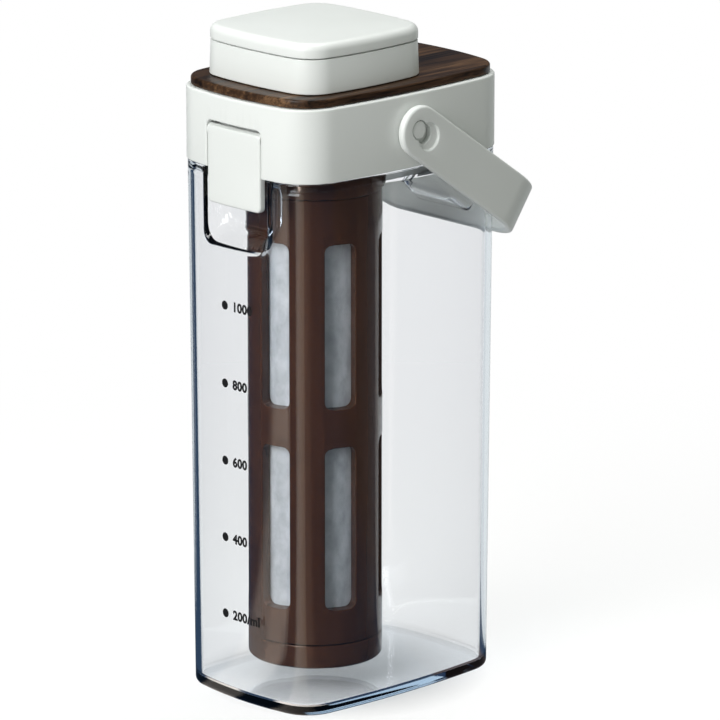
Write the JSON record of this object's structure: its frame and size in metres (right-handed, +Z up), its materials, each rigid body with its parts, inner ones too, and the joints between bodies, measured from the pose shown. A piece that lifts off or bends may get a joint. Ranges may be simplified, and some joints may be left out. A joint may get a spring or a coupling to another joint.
{
  "type": "cold brew coffee maker",
  "caption": "Clear rectangular pitcher with a latching lid, wood top plate, square knob, bail handle and a lift-out windowed coffee filter.",
  "frame": {"origin": "centre of the jug's flat base", "axes": "+Z up, -Y towards the narrow front face with the scale and the front latch, +X towards the right long side"},
  "size_m": [0.0842, 0.1221, 0.2529],
  "materials": {
    "clear_plastic": "clear, thick-walled, polished",
    "white_plastic": "satin warm white",
    "walnut": "dark stained, satin, fine long grain",
    "brown_plastic": "glossy dark brown, slightly translucent",
    "filter_mesh": "fine pale woven filter mesh",
    "silicone": "matte translucent",
    "steel": "plain"
  },
  "bodies": {
    "root": {"jug": "clear_plastic", "lid_shell": "white_plastic", "wood_plate": "walnut", "lid_tray": "white_plastic", "lid_gasket": "silicone", "fill_neck": "white_plastic", "front_latch_pin": "steel", "back_latch_pin": "steel", "right_handle_stud": "white_plastic", "left_handle_stud": "white_plastic"},
    "handle": {"handle": "white_plastic"},
    "front_latch": {"front_latch": "white_plastic"},
    "back_latch": {"back_latch": "white_plastic"},
    "filter": {"filter_collar": "brown_plastic", "filter_cage": "brown_plastic", "filter_mesh": "filter_mesh", "filter_seat_seal": "silicone"},
    "filter_base": {"filter_base_cap": "brown_plastic", "filter_base_seal": "silicone"},
    "knob": {"knob_ring": "white_plastic", "knob_top": "white_plastic", "knob_core": "white_plastic", "knob_seal": "silicone"}
  },
  "joints": [
    {"name": "handle_swing", "type": "hinge", "parent": "root", "child": "handle", "pos_m": [0, 0, 0.2169], "axis": [1, 0, 0], "range_deg": [0, 249.8]},
    {"name": "front_latch_swing", "type": "hinge", "parent": "root", "child": "front_latch", "pos_m": [0, -0.0514, 0.2164], "axis": [-1, 0, 0], "range_deg": [0, 100]},
    {"name": "back_latch_swing", "type": "hinge", "parent": "root", "child": "back_latch", "pos_m": [0, 0.0514, 0.2164], "axis": [1, 0, 0], "range_deg": [0, 100]},
    {"name": "filter_lift", "type": "slide", "parent": "root", "child": "filter", "axis": [0, 0, 1], "range_m": [0, 0.228]},
    {"name": "knob_turn", "type": "hinge", "parent": "filter", "child": "knob", "pos_m": [0, -0.0135, 0.24], "axis": [0, 0, 1], "range_deg": [0, 45]},
    {"name": "filter_base_turn", "type": "hinge", "parent": "filter", "child": "filter_base", "pos_m": [0, -0.0135, 0.021], "axis": [0, 0, 1], "range_deg": [0, 45]}
  ]
}
